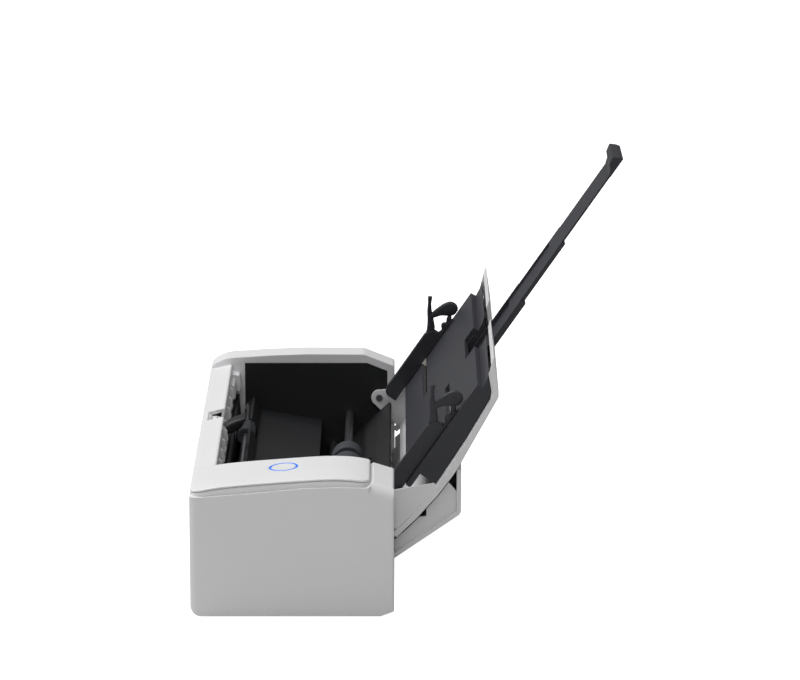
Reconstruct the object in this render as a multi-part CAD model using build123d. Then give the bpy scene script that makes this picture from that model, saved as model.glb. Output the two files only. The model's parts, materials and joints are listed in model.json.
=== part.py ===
from build123d import *
import math
import os

# Compact sheet-fed document scanner with a folding paper chute, in millimetres.
# +X is the user's right, -Y the front, +Z up; the origin is on the table, under
# the middle of the body. The chute and the rear cover are modelled open.

# Body
WIDTH = 296.0
DEPTH = 114.0
X_LEFT, X_RIGHT = -WIDTH / 2, WIDTH / 2
Y_FRONT, Y_REAR = -DEPTH / 2, DEPTH / 2
LEFT_CAP_WIDTH = 19.0
RIGHT_CAP_WIDTH = 46.0
X_BAY_LEFT = X_LEFT + LEFT_CAP_WIDTH
X_BAY_RIGHT = X_RIGHT - RIGHT_CAP_WIDTH
X_MID = (X_BAY_LEFT + X_BAY_RIGHT) / 2
BAY_HALF = (X_BAY_RIGHT - X_BAY_LEFT) / 2
WALL = 2.4
LIP_HEIGHT = 72.7
LIP_TOP = 76.1
LIP_DEPTH = 14.0
FRONT_SEAM = 30.0
REAR_WALL_TOP = 11.0
BASE_GAP = 1.2
PANEL_THICK = 2.0
SHOULDER_R = 7.0
LEFT_PANEL_TOP = 76.6
RIGHT_PANEL_TOP = 73.6

# Button panel, a thin arched plate over a narrow plinth
PLATE_REAR = 43.6
PLATE_THICK = 1.9
PLINTH_INSET = 2.2
BUTTON_X, BUTTON_Y = 119.0, -5.0
BUTTON_R = 7.2
RING_WIDTH = 0.9
BUTTON_TRAVEL = 0.8

# Chute: a cover that turns on two pins, and its slope when it is open
CHUTE_HINGE = (47.5, 55.1)
CHUTE_TURN = 118.3
CHUTE_SLOPE = 55.4
FLOOR_START = (64.5, 64.8)
CHUTE_GAP = 0.5
COVER_HALF = BAY_HALF - CHUTE_GAP
SKIN = 2.2
CHEEK_THICK = 2.2
RIM_PROUD = 0.7
RIM_WIDTH = 3.2
LINER_HALF = COVER_HALF - CHEEK_THICK - 0.2
HINGE_PIN_R = 2.0
RUNNING = 0.05

# Rear cover, an L-shaped shell that swings out with the chute
REAR_HINGE = (54.5, 15.5)
REAR_TURN = 34.5
REAR_THICK = 2.6
REAR_HALF = COVER_HALF - CHEEK_THICK - 0.6
REAR_PIN_R = 1.5

# Side guides, drawn set for A4 paper, with a rack each and one pinion
PAPER_WIDTH = 210.0
GUIDE_INNER = PAPER_WIDTH / 2 + 0.5
GUIDE_THICK = 4.4
PINION_TEETH = 16
MODULE = 1.0
PINION_U = 30.0
RACK_WIDTH = 3.8
RACK_V = (-5.9, -3.1)
FLOOR_THICK = 2.6

# Paper support: three bars that slide in each other, and a stop at the end
STAGE_TRAVEL = 42.0
STAGE_LENGTH = 54.0
STAGE_STARTS = (53.0, 95.0, 138.0)
STAGE_HALF = (22.0, 20.4, 18.8)
STAGE_V = (-10.0, -6.4)

# Rollers and drive, as (Y, Z) of each axis
PICK_AXIS, PICK_R = (29.2, 44.1), 9.5
RETARD_AXIS, RETARD_R = (40.4, 33.3), 5.9
FEED_AXIS, FEED_R = (19.0, 24.2), 6.4
FEED_PINCH_AXIS, FEED_PINCH_R = (19.0, 12.6), 4.6
EJECT_AXIS, EJECT_R = (-32.5, 50.0), 5.5
EJECT_PINCH_AXIS, EJECT_PINCH_R = (-43.2, 50.0), 4.6
SHAFT_R = 2.5
GEAR_X = (105.0, 110.0)
SMALL_TEETH, IDLER_TEETH, LARGE_TEETH, MOTOR_TEETH = 16, 18, 44, 12
MOTOR_R = 12.0
MOTOR_BEARING = -155.0


def along_x(face, x0, x1):
    """Extrudes a (Y, Z) face from x0 to x1."""
    return extrude(Plane.YZ.offset(x0) * face, amount=x1 - x0, dir=(1, 0, 0))


def rod(axis, radius, x0, x1):
    return along_x(Pos(*axis) * Circle(radius), x0, x1)


def tube(axis, outer, inner, x0, x1):
    return rod(axis, outer, x0, x1) - rod(axis, inner, x0, x1)


def block(x0, x1, y0, y1, z0, z1):
    return Pos((x0 + x1) / 2, (y0 + y1) / 2, (z0 + z1) / 2) * Box(x1 - x0, y1 - y0, z1 - z0)


def rounded(points, rounds=()):
    """A polygon; rounds holds (radius, corner, corner...) and each corner is one of its points."""
    face = Polygon(*points, align=None)
    for radius, *corners in rounds:
        near = [min(face.vertices(), key=lambda v: math.dist((v.X, v.Y), c)) for c in corners]
        face = fillet(near, radius)
    return face


def offset_line(points, distance):
    """The open line moved to its left by the distance, with mitred corners."""
    normals = []
    for (y0, z0), (y1, z1) in zip(points, points[1:]):
        length = math.dist((y0, z0), (y1, z1))
        normals.append(((z0 - z1) / length, (y1 - y0) / length))
    moved = []
    for i, (y, z) in enumerate(points):
        a = normals[max(i - 1, 0)]
        b = normals[min(i, len(normals) - 1)]
        scale = distance / (1 + a[0] * b[0] + a[1] * b[1])
        moved.append((y + (a[0] + b[0]) * scale, z + (a[1] + b[1]) * scale))
    return moved


def band(points, thickness, bend=0.0):
    """A strip of even thickness to the left of a line, with round bends."""
    other = offset_line(points, thickness)
    face = Polygon(*points, *reversed(other), align=None)
    for i in range(1, len(points) - 1):
        (y0, z0), (y1, z1), (y2, z2) = points[i - 1], points[i], points[i + 1]
        left = (y1 - y0) * (z2 - z1) - (z1 - z0) * (y2 - y1) > 0
        for corner, extra in ((points[i], thickness if left else 0), (other[i], 0 if left else thickness)):
            if bend:
                near = min(face.vertices(), key=lambda v: math.dist((v.X, v.Y), corner))
                face = fillet(near, bend + extra)
    return face


SLOPE = math.radians(CHUTE_SLOPE)
UP = (0, math.cos(SLOPE), math.sin(SLOPE))
OUT = (0, -math.sin(SLOPE), math.cos(SLOPE))


def chute_plane(x=0.0):
    """Across X on local x, up the chute on local y, out of its floor on local z."""
    return Plane(origin=(x, *FLOOR_START), x_dir=(1, 0, 0), z_dir=OUT)


def chute_block(x0, x1, u0, u1, v0, v1):
    middle = Pos((x0 + x1) / 2 + X_MID, (u0 + u1) / 2, (v0 + v1) / 2)
    return chute_plane() * middle * Box(x1 - x0, u1 - u0, v1 - v0)


def chute_side(face, x0, x1):
    """Extrudes a face drawn as (up, out) from x0 to x1, counted from the middle."""
    side = Plane(origin=(x0 + X_MID, *FLOOR_START), x_dir=UP, z_dir=(1, 0, 0))
    return extrude(side * face, amount=x1 - x0, dir=(1, 0, 0))


def to_chute(point):
    """A (Y, Z) point as (up, out) of the chute's floor."""
    y, z = point[0] - FLOOR_START[0], point[1] - FLOOR_START[1]
    return y * UP[1] + z * UP[2], y * OUT[1] + z * OUT[2]


def from_chute(point):
    u, v = point
    return FLOOR_START[0] + u * UP[1] + v * OUT[1], FLOOR_START[1] + u * UP[2] + v * OUT[2]


def mirrored(shape):
    """The same piece on the other side of the paper's middle."""
    return mirror(shape, about=Plane.YZ.offset(X_MID))


def both(shape):
    return shape + mirrored(shape)


def gear_face(teeth, bore, start=0.0, module=MODULE):
    """Straight-flanked teeth, the first centred on the start angle in degrees."""
    pitch_r = module * teeth / 2
    root, tip = pitch_r - 1.25 * module, pitch_r + module
    half = 0.42 * math.pi / teeth
    lean = math.tan(math.radians(20))
    at_root = half + lean * (pitch_r - root) / root
    at_tip = half - lean * (tip - pitch_r) / tip
    points = []
    for i in range(teeth):
        middle = math.radians(start) + 2 * math.pi * i / teeth
        for radius, angle in ((root, -at_root), (tip, -at_tip), (tip, at_tip), (root, at_root)):
            points.append((radius * math.cos(middle + angle), radius * math.sin(middle + angle)))
    return Polygon(*points, align=None) - Circle(bore)


def mesh_angle(first, first_start, first_teeth, second, second_teeth):
    """Start angle that puts a gap of the second gear where the first has a tooth."""
    toward = math.degrees(math.atan2(second[1] - first[1], second[0] - first[0]))
    part = ((toward - first_start) * first_teeth / 360) % 1
    return toward + 180 + (part + 0.5) * 360 / second_teeth


def third_axis(a, b, ra, rb):
    """Axis at distance ra from a and rb from b, to the right of the line from a to b."""
    d = math.dist(a, b)
    along = (d * d + ra * ra - rb * rb) / (2 * d)
    aside = math.sqrt(ra * ra - along * along)
    y, z = (b[0] - a[0]) / d, (b[1] - a[1]) / d
    return a[0] + y * along + z * aside, a[1] + z * along - y * aside


CENTRE_PLAY = 0.1
IDLER_REACH = MODULE * (SMALL_TEETH + IDLER_TEETH) / 2 + CENTRE_PLAY
LARGE_REACH = MODULE * (SMALL_TEETH + LARGE_TEETH) / 2 + CENTRE_PLAY
MOTOR_REACH = MODULE * (MOTOR_TEETH + LARGE_TEETH) / 2 + CENTRE_PLAY
IDLER_AXIS = third_axis(FEED_AXIS, PICK_AXIS, IDLER_REACH, IDLER_REACH)
LARGE_AXIS = third_axis(EJECT_AXIS, FEED_AXIS, LARGE_REACH, LARGE_REACH)
MOTOR_AXIS = (
    LARGE_AXIS[0] + MOTOR_REACH * math.cos(math.radians(MOTOR_BEARING)),
    LARGE_AXIS[1] + MOTOR_REACH * math.sin(math.radians(MOTOR_BEARING)),
)


# Body shells

TONGUE_AXIS = (-44.2, 64.4)
BRACKET_X = (-22.4, -4.6)


def right_cap_outline():
    points = [
        (Y_FRONT, BASE_GAP), (Y_FRONT, 70.3), (-50, 70.0), (-25, 72.1), (7, 75.2), (28, 75.8), (41.5, 75.3),
        (45.4, 77.6), (Y_REAR, 74.0), (Y_REAR, 4.0), (49.5, BASE_GAP),
    ]
    rounds = [(6, points[0]), (1.2, points[1]), (12, points[3]), (3.2, points[6]), (1.5, points[8])]
    return rounded(points, rounds)


def left_cap_outline():
    points = [
        (Y_FRONT, BASE_GAP), (Y_FRONT, 74.5), (-47, 79.6), (-20, 81.4), (2, 82.2), (38, 82.0), (Y_REAR, 74.5),
        (Y_REAR, 4.0), (49.5, BASE_GAP),
    ]
    rounds = [(6, points[0]), (8, points[1]), (20, points[2]), (6, points[5]), (2, points[6])]
    return rounded(points, rounds)


def inner_opening(top):
    """The gap in a cap's inner wall that the black side panel fills."""
    return Polygon((-35.6, 4.4), (-35.6, top), (40, top), (52.5, 71.5), (52.5, 4.4), align=None)


def shoulder_waste():
    """The edge that is rounded away behind the button panel, along the slope of the cap's top."""
    run = (Y_REAR - 45.4, 74.0 - 77.6)
    length = math.hypot(*run)
    start = Plane(origin=(X_RIGHT, 45.4, 77.6), x_dir=(-1, 0, 0), z_dir=(0, run[0] / length, run[1] / length))
    r = SHOULDER_R
    face = Pos(r / 2 - 0.5, -r / 2 + 0.5) * Rectangle(r + 1, r + 1) - Pos(r, -r) * Circle(r)
    return extrude(start * Pos(0, 0, -1.2) * face, amount=length + 3)


def make_right_cap():
    outer = along_x(right_cap_outline(), X_BAY_RIGHT, X_RIGHT)
    plan = [(X_BAY_RIGHT - 1, Y_FRONT - 1), (X_RIGHT, Y_FRONT - 1), (X_RIGHT, Y_REAR), (X_BAY_RIGHT - 1, Y_REAR)]
    outer &= extrude(rounded(plan, [(5, plan[1]), (1.5, plan[2])]), amount=90) - shoulder_waste()
    inside = along_x(
        rounded([(-54.6, 3.6), (-54.6, 67.6), (-24, 69.6), (7, 72.6), (40, 72.6), (54.6, 70.6), (54.6, 5.6), (49, 3.6)]),
        X_BAY_RIGHT + PANEL_THICK, X_RIGHT - WALL,
    )
    opening = along_x(inner_opening(RIGHT_PANEL_TOP), X_BAY_RIGHT, X_BAY_RIGHT + PANEL_THICK)
    ports = block(114, 124.2, Y_REAR - 4, Y_REAR + 1, 16, 23.2) + block(130, 139.4, Y_REAR - 4, Y_REAR + 1, 15, 24.2)
    stem_hole = Pos(BUTTON_X, BUTTON_Y, 72) * Cylinder(2.0, 12)
    return outer - inside - opening - ports - stem_hole - screw_pockets()


def make_left_cap():
    outer = along_x(left_cap_outline(), X_LEFT, X_BAY_LEFT)
    edges = [e for e in outer.edges() if e.center().X < X_LEFT + 0.01 and e.center().Z > 74]
    outer = fillet(edges, 1.2)
    inside = along_x(
        rounded([(-54.6, 3.6), (-54.6, 71), (-46, 76.3), (2, 79.4), (37, 79.2), (54.6, 72.0), (54.6, 5.6), (49, 3.6)]),
        X_LEFT + WALL, X_BAY_LEFT - PANEL_THICK,
    )
    opening = along_x(inner_opening(LEFT_PANEL_TOP), X_BAY_LEFT - PANEL_THICK, X_BAY_LEFT)
    return outer - inside - opening - screw_pockets()


SHAFTS = (PICK_AXIS, FEED_AXIS, EJECT_AXIS)


def shaft_holes(x0, x1):
    holes = rod(SHAFTS[0], SHAFT_R + RUNNING, x0, x1)
    for axis in SHAFTS[1:]:
        holes += rod(axis, SHAFT_R + RUNNING, x0, x1)
    return holes


def make_right_panel():
    x0, x1 = X_BAY_RIGHT, X_BAY_RIGHT + PANEL_THICK
    panel = along_x(inner_opening(RIGHT_PANEL_TOP), x0, x1) - shaft_holes(x0, x1)
    return panel - rod(CHUTE_HINGE, HINGE_PIN_R, x0, x1)


def make_left_panel():
    x0, x1 = X_BAY_LEFT - PANEL_THICK, X_BAY_LEFT
    panel = along_x(inner_opening(LEFT_PANEL_TOP), x0, x1) - shaft_holes(x0, x1)
    return panel - rod(CHUTE_HINGE, HINGE_PIN_R, x0, x1)


def make_base_tray():
    points = [
        (Y_FRONT, BASE_GAP), (Y_FRONT, FRONT_SEAM), (Y_FRONT + WALL, FRONT_SEAM), (Y_FRONT + WALL, WALL + BASE_GAP),
        (-47, WALL), (47, WALL), (Y_REAR - WALL, WALL + BASE_GAP), (Y_REAR - WALL, REAR_WALL_TOP),
        (Y_REAR, REAR_WALL_TOP), (Y_REAR, BASE_GAP), (50, BASE_GAP), (49, 0), (-49, 0), (-50, BASE_GAP),
    ]
    tray = along_x(rounded(points, [(6, points[0]), (3.6, points[3]), (2.5, points[9])]), X_BAY_LEFT, X_BAY_RIGHT)
    for x in (X_MID - 75, X_MID - 25, X_MID + 25, X_MID + 75):
        tray += block(x - 0.8, x + 0.8, -46, -24, WALL, 7)
    for x, y in foot_places():
        if X_BAY_LEFT < x < X_BAY_RIGHT:
            tray -= Pos(x, y, 0.4) * Cylinder(7, 0.8)
    return tray


def foot_places():
    return [(x, y) for x in (X_BAY_LEFT + 16, X_BAY_RIGHT - 16) for y in (-39, 39)]


def make_feet():
    feet = None
    for x, y in foot_places():
        foot = Pos(x, y, 0.4) * Cylinder(6.9, 0.8)
        feet = foot if feet is None else feet + foot
    return feet


def make_front_cover():
    inner = Y_FRONT + LIP_DEPTH
    hook = [
        (Y_FRONT, FRONT_SEAM), (Y_FRONT, LIP_HEIGHT), (inner, LIP_TOP), (inner - 3.4, 60.5), (inner - 5.2, 60.8),
        (inner - 2.4, LIP_TOP - 2.6), (Y_FRONT + WALL, LIP_HEIGHT - 2), (Y_FRONT + WALL, FRONT_SEAM),
    ]
    cover = along_x(rounded(hook, [(2.2, hook[1]), (1.2, hook[2])]), X_BAY_LEFT, X_BAY_RIGHT)
    fin = rounded(
        [(inner - 3.2, 61.5), (inner - 0.6, 73.5), (inner + 1.8, 71.5), (inner + 2.6, 67.0), (inner + 0.4, 61.2)],
        [(1.5, (inner + 1.8, 71.5)), (2.5, (inner + 2.6, 67.0))],
    )
    for x in (-84, -62, -38, 12, 34, 56, 78, 94):
        cover += along_x(fin, x - 0.9, x + 0.9)
    post = rounded([(-46.8, 61), (-44.2, 72.0), (-38.8, 71.0), (-37.8, 67.5), (-38.4, 61)], [(1.2, (-38.8, 71.0))])
    step = rounded([(-46.8, 61), (-44.6, 70.0), (-41.2, 69.4), (-40.2, 66.0), (-40.6, 61)], [(1.0, (-41.2, 69.4))])
    cover += along_x(post, X_BAY_LEFT, -119) + along_x(step, -119.5, -100)
    return cover - along_x(tongue_recess(), BRACKET_X[0] - 0.6, BRACKET_X[1] + 0.6)


def tongue_recess():
    """Ramp and gap in the lip, with the tongue's bracket in it."""
    return Polygon((-53.3, 78), (-53.3, 73.3), (-50.4, 71.3), (-50.4, 58), (-41, 58), (-41, 78), align=None)


def make_tongue_bracket():
    """Clip under the lip, whose two arms hold the exit tongue's pin."""
    x0, x1 = BRACKET_X
    wall = [
        (-54.4, 68.8), (-54.4, 70.7), (-52.0, 71.4), (-48.4, 71.3), (-48.0, 66.0), (-49.4, 64.2), (-50.2, 64.2),
        (-50.2, 68.8),
    ]
    arm = rounded([(-49.6, 64.4), (-48.6, 71.3), (-44.4, 70.4), (-41.6, 66.6), (-41.8, 62.0), (-45.0, 61.2)])
    clip = along_x(Polygon(*wall, align=None), x0, x1) + along_x(arm, x0, x0 + 2) + along_x(arm, x1 - 2, x1)
    return clip - rod(TONGUE_AXIS, 1.0 + RUNNING, x0 - 1, x1 + 1)


def make_tongue():
    """Black flap that turns each sheet forward as it leaves."""
    side = [
        (-46.0, 63.6), (-46.6, 67.4), (-44.4, 68.8), (-37.5, 71.5), (-33.0, 73.8), (-30.8, 73.2), (-31.8, 68.2),
        (-40.0, 62.6),
    ]
    flap = along_x(rounded(side, [(1.4, side[1]), (1.6, side[5]), (4, side[6])]), -19.8, -7.2)
    return flap + rod(TONGUE_AXIS, 1.0, *BRACKET_X)


# Button panel

def plate_top():
    return [(Y_FRONT + 0.2, 73.4), (-50, 75.1), (-25, 78.2), (0, 80.4), (18, 81.2), (38, 80.6), (PLATE_REAR, 79.2)]


def arched_band(line, thickness):
    """Face between a smooth curve through the points and its copy lowered by the thickness."""
    top = Spline(*line)
    low = Spline(*[(y, z - thickness) for y, z in line])
    return make_face([top, Line(line[-1], (line[-1][0], line[-1][1] - thickness)), low,
                      Line(line[0], (line[0][0], line[0][1] - thickness))])


def make_button_panel():
    line = plate_top()
    plan = block(X_BAY_RIGHT, X_RIGHT - 0.4, line[0][0], PLATE_REAR, 60, 95)
    corners = plan.edges().filter_by(Axis.Z).sort_by(Axis.X)[-2:]
    plan = fillet(corners, 7)
    plate = along_x(arched_band(line, PLATE_THICK), X_BAY_RIGHT, X_RIGHT) & plan
    plinth_plan = block(X_BAY_RIGHT, X_RIGHT - PLINTH_INSET, line[0][0] + PLINTH_INSET, PLATE_REAR - 3.4, 60, 95)
    plinth_plan = fillet(plinth_plan.edges().filter_by(Axis.Z).sort_by(Axis.X)[-2:], 6)
    under = [(y, z - PLATE_THICK) for y, z in line]
    plinth = along_x(arched_band(under, 12), X_BAY_RIGHT, X_RIGHT) & plinth_plan
    plinth -= along_x(right_cap_outline(), X_BAY_RIGHT - 1, X_RIGHT + 1)
    plinth -= along_x(inner_opening(RIGHT_PANEL_TOP), X_BAY_RIGHT, X_BAY_RIGHT + PANEL_THICK)
    panel = plate + plinth
    well = Pos(BUTTON_X, BUTTON_Y, 80) * Cylinder(BUTTON_R + RING_WIDTH + 0.1, 14)
    return panel - well


def make_scan_button():
    top = 80.15
    cap = Pos(BUTTON_X, BUTTON_Y, top - 1.1) * Cylinder(BUTTON_R - 0.3, 2.2)
    stem = Pos(BUTTON_X, BUTTON_Y, top - 5.2) * Cylinder(1.6, 6.4)
    return chamfer(cap.edges().group_by(Axis.Z)[-1], 0.4) + stem


def make_led_ring():
    ring = Pos(BUTTON_X, BUTTON_Y, 78.6) * Cylinder(BUTTON_R + RING_WIDTH, 3.0)
    return ring - Pos(BUTTON_X, BUTTON_Y, 78.6) * Cylinder(BUTTON_R, 3.2)


# Chute cover

OUTER_LINE = [(61.7, 36.7), (69.8, 44.6), (81.5, 57.9), (90.6, 70.1), (95.0, 77.3), (115.9, 115.4), (115.9, 119.1), (113.2, 138.3)]
INNER_LINE = [(80.7, 64.0), (97.7, 90.5), (111.2, 113.9), (111.9, 118.4), (108.6, 138.0)]
RIM_LINE = [(58.3, 33.2)] + OUTER_LINE
CHEEK_TOP = [(79.3, 64.9), (69.9, 63.3), (58.3, 61.1), (48.4, 60.1)]


def cheek_face():
    outline = RIM_LINE + list(reversed(INNER_LINE)) + CHEEK_TOP + [(44.0, 51.6), (58.3, 37.4)]
    return Polygon(*outline, align=None) + Pos(*CHUTE_HINGE) * Circle(5.0)


def lip_seam():
    """What the closed chute leaves free over the front lip, drawn in the open pose."""
    lip = [(-70, 70.0), (Y_FRONT, LIP_HEIGHT + 0.5), (Y_FRONT + LIP_DEPTH, LIP_TOP + 0.4), (-38, 76.5), (-38, 60), (-70, 60)]
    turn = math.radians(-CHUTE_TURN)
    points = []
    for y, z in lip:
        dy, dz = y - CHUTE_HINGE[0], z - CHUTE_HINGE[1]
        points.append((
            CHUTE_HINGE[0] + dy * math.cos(turn) - dz * math.sin(turn),
            CHUTE_HINGE[1] + dy * math.sin(turn) + dz * math.cos(turn),
        ))
    return along_x(Polygon(*points, align=None), X_BAY_LEFT, X_BAY_RIGHT)


def make_chute_shell():
    skin = along_x(band(OUTER_LINE, SKIN), X_MID - COVER_HALF, X_MID + COVER_HALF)
    inner, outer = X_MID + COVER_HALF - CHEEK_THICK, X_MID + COVER_HALF
    cheek = along_x(cheek_face(), inner, outer - RIM_PROUD)
    cheek += along_x(band(RIM_LINE, RIM_WIDTH), inner, outer)
    cheek -= rod(CHUTE_HINGE, HINGE_PIN_R + RUNNING, inner - 1, outer + 1)
    shell = skin + both(cheek)
    notch = chute_block(-STAGE_HALF[0] - 0.6, STAGE_HALF[0] + 0.6, 67.5, 95, -10.4, 6)
    return shell - notch - lip_seam()


def liner_outline():
    low = [to_chute(p) for p in INNER_LINE]
    return [(-1.5, 0), (-1.5, -3.0), (8.4, -3.0), (8.4, low[0][1] + 0.2)] + [
        (low[1][0], low[1][1] + 0.2), (low[2][0], low[2][1] + 0.2), (low[3][0], low[3][1] + 0.2), (80.6, 0.0),
    ]


def make_chute_liner():
    outline = liner_outline()
    body = chute_side(Polygon(*outline, align=None), -LINER_HALF, LINER_HALF)
    hollow = [(10.6, -FLOOR_THICK), (10.6, -16), (66, -16), (66, -FLOOR_THICK)]
    body -= chute_side(Polygon(*hollow, align=None), -LINER_HALF + 2.2, LINER_HALF - 2.2)
    notch = chute_block(-STAGE_HALF[0] - 0.6, STAGE_HALF[0] + 0.6, 60.0, 95, -16, 6)
    rail = chute_block(STAGE_HALF[0] + 0.3, STAGE_HALF[0] + 1.7, 12, 66, -11.5, -6.2)
    rail += chute_block(STAGE_HALF[0] - 2.0, STAGE_HALF[0] + 1.7, 12, 66, -11.5, -10.3)
    rail += chute_block(STAGE_HALF[0] + 0.3, STAGE_HALF[0] + 1.7, 46, 66, -6.3, -FLOOR_THICK)
    reach = GUIDE_INNER - 80.6
    near_slot = chute_block(reach, LINER_HALF - 2.4, 39.0, 43.4, -4, 1)
    far_slot = chute_block(-LINER_HALF + 2.4, -reach, 16.6, 21.0, -4, 1)
    pin = chute_plane() * Pos(X_MID, PINION_U, (RACK_V[0] - 0.3 - FLOOR_THICK) / 2)
    pin = pin * Cylinder(1.5, -RACK_V[0] + 0.3 - FLOOR_THICK)
    return body - notch - near_slot - far_slot - lip_seam() + both(rail) + pin


def make_guide():
    """Near side guide: a long rounded ridge, with a foot that carries the arm."""
    inner, outer = GUIDE_INNER, GUIDE_INNER + GUIDE_THICK
    ridge = rounded(
        [(-12, 0.3), (-12, 9.4), (33, 9.4), (38.4, 6.2), (38.4, 0.3)],
        [(4, (-12, 9.4)), (3, (33, 9.4)), (2.4, (38.4, 6.2))],
    )
    guide = chute_side(ridge, inner, outer)
    foot = rounded([(38.4, 0.3), (38.4, 1.7), (47.5, 1.7), (50.5, 0.3)]) + Pos(43.8, 2.3) * Circle(1.9)
    return guide + chute_side(foot, inner, outer)


def make_arm():
    """Y-shaped paper support: a blade on the ridge's end, braced by a curved link."""
    x0, x1 = GUIDE_INNER + 0.6, GUIDE_INNER + 3.8
    blade = [(29.6, 9.4), (33.0, 9.4), (38.4, 6.2), (38.5, 7.4), (51.0, 17.3), (54.3, 18.8), (53.7, 20.9), (48.8, 18.3), (44.5, 15.6)]
    post = chute_side(rounded(blade, [(1.0, blade[5], blade[6])]) + Pos(52.9, 19.2) * Circle(1.9), x0, x1)
    link = [(41.0, 9.4), (46.4, 8.4), (49.6, 5.2), (55.0, 3.0), (58.4, 7.4), (55.6, 10.0), (50.0, 12.4), (46.2, 14.4)]
    brace = chute_side(rounded(link, [(2.0, link[1]), (4.0, link[6])]) + Pos(*ARM_PIN) * Circle(4.7), x0, x1)
    pin_hole = chute_side(Pos(*ARM_PIN) * Circle(1.3), x0 - 1, x1 + 1)
    return post + brace - pin_hole


ARM_PIN = (54.2, 5.4)


def make_arm_pin():
    x0, x1 = GUIDE_INNER + 0.4, GUIDE_INNER + 4.2
    return chute_side(Pos(*ARM_PIN) * Circle(1.3), x0, x1)


def make_rack():
    """Rack under the floor, with the stem that joins it to its guide through the slot."""
    pitch = math.pi * MODULE
    line = PINION_U + MODULE * PINION_TEETH / 2 + 0.05
    root, tip = line + 1.25 * MODULE, line - MODULE
    lean = math.tan(math.radians(20))
    half = 0.42 * pitch / 2
    back = root + RACK_WIDTH
    start, end = -3 * pitch, 27 * pitch
    stem_end = GUIDE_INNER + 1.7
    points = [(stem_end, back), (stem_end, root), (end, root)]
    for i in range(26, -4, -1):
        middle = (i + 0.5) * pitch
        points += [
            (middle + half + lean * 1.25, root), (middle + half - lean, tip),
            (middle - half + lean, tip), (middle - half - lean * 1.25, root),
        ]
    points += [(start - 0.6, root), (start - 0.6, back)]
    plane = chute_plane() * Pos(X_MID, 0, RACK_V[0])
    bar = extrude(plane * Polygon(*points, align=None), amount=RACK_V[1] - RACK_V[0], dir=OUT)
    stem = chute_block(GUIDE_INNER - 0.3, stem_end, root, back, RACK_V[1] - 0.1, 0.3)
    return bar + stem


def turned_about_pinion(shape):
    """The far rack is the near one, turned half a turn about the pinion."""
    across = Plane(origin=(X_MID, *from_chute((PINION_U, 0))), z_dir=UP)
    return mirror(mirrored(shape), about=across)


def make_pinion():
    plane = chute_plane() * Pos(X_MID, PINION_U, RACK_V[0])
    face = gear_face(PINION_TEETH, 1.5 + RUNNING, 90)
    return extrude(plane * face, amount=RACK_V[1] - RACK_V[0], dir=OUT)


def make_stage(index):
    """One bar of the paper support: a shallow channel; the last is a flat plate."""
    u0 = STAGE_STARTS[index]
    half = STAGE_HALF[index]
    low = STAGE_V[0] + index * 1.25
    length = STAGE_LENGTH if index < 2 else 58
    bar = chute_block(-half, half, u0, u0 + length, low, STAGE_V[1])
    if index < 2:
        bar -= chute_block(-half + 1.3, half - 1.3, u0 - 1, u0 + length + 1, low + 1.0, STAGE_V[1] + 1)
    return bar


def make_tip():
    """Stop at the end of the paper support: a plate that rises to a raised edge."""
    side = [(196.1, -7.5), (196.1, -6.3), (199.4, -5.2), (202.0, -2.7), (206.8, -1.6), (208.6, -5.0), (209.2, -7.5)]
    tip = chute_side(rounded(side, [(0.8, side[4])]), -20.0, 20.0)
    scoop = chute_side(rounded([(200.5, -8), (200.5, -4.4), (206.4, -4.4), (206.4, -8)]), 9, 19)
    return tip - scoop


# Rear cover

def make_rear_cover():
    line = [(57.0, 20.0), (94.9, 46.4), (95.1, 72.4)]
    shell = along_x(band(line, REAR_THICK, 1.6), X_MID - REAR_HALF, X_MID + REAR_HALF)
    ear = Polygon((52.4, 16.8), (56.8, 14.4), (56.9, 19.9), (60.4, 22.4), (57.6, 23.4), align=None)
    ear = ear + Pos(*REAR_HINGE) * Circle(2.4)
    ears = along_x(ear, X_MID + REAR_HALF - 8, X_MID + REAR_HALF)
    ears -= rod(REAR_HINGE, REAR_PIN_R + RUNNING, X_MID + REAR_HALF - 9, X_MID + REAR_HALF + 1)
    shell += both(ears)
    for x in (-70, 0, 70):
        rib = Polygon((64, 27.3), (90, 45.4), (90, 48.1), (62.5, 29.1), align=None)
        shell += along_x(rib, X_MID + x - 0.8, X_MID + x + 0.8)
    return shell


def make_hinge_pins():
    near = rod(CHUTE_HINGE, HINGE_PIN_R, X_BAY_RIGHT - 3.4, X_BAY_RIGHT + 5)
    low = rod(REAR_HINGE, REAR_PIN_R, X_BAY_RIGHT - 9, X_BAY_RIGHT)
    return both(near + low)


# Paper path

GUIDE_PATH = [(53.8, 52.6), (46.2, 45.6), (34.0, 32.2), (23.5, 17.4), (-24.0, 17.4), (-37.6, 30.0), (-39.0, 57.0)]


def make_lower_guide():
    """Curved lower wall of the paper path, open where the rollers and the sensor reach through."""
    face = band(GUIDE_PATH, 1.8, 4.0)
    x0, x1 = X_BAY_LEFT, X_BAY_RIGHT
    guide = along_x(face, x0, x1)
    retard = block(X_MID - 24, X_MID + 24, 30, 50, 24, 42)
    pinch = both(block(X_MID + 38, X_MID + 62, 13.4, 24.6, 10, 20))
    sensor = block(X_MID - 109, X_MID + 109, -9.5, 9.5, 10, 20)
    eject = both(block(X_MID + 38, X_MID + 62, -46, -36, 44, 56))
    cheeks = both(block(X_MID + COVER_HALF - CHEEK_THICK - 0.6, X_BAY_RIGHT + 1, 40, 62, 26, 62))
    return guide - retard - pinch - sensor - eject - cheeks


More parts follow.
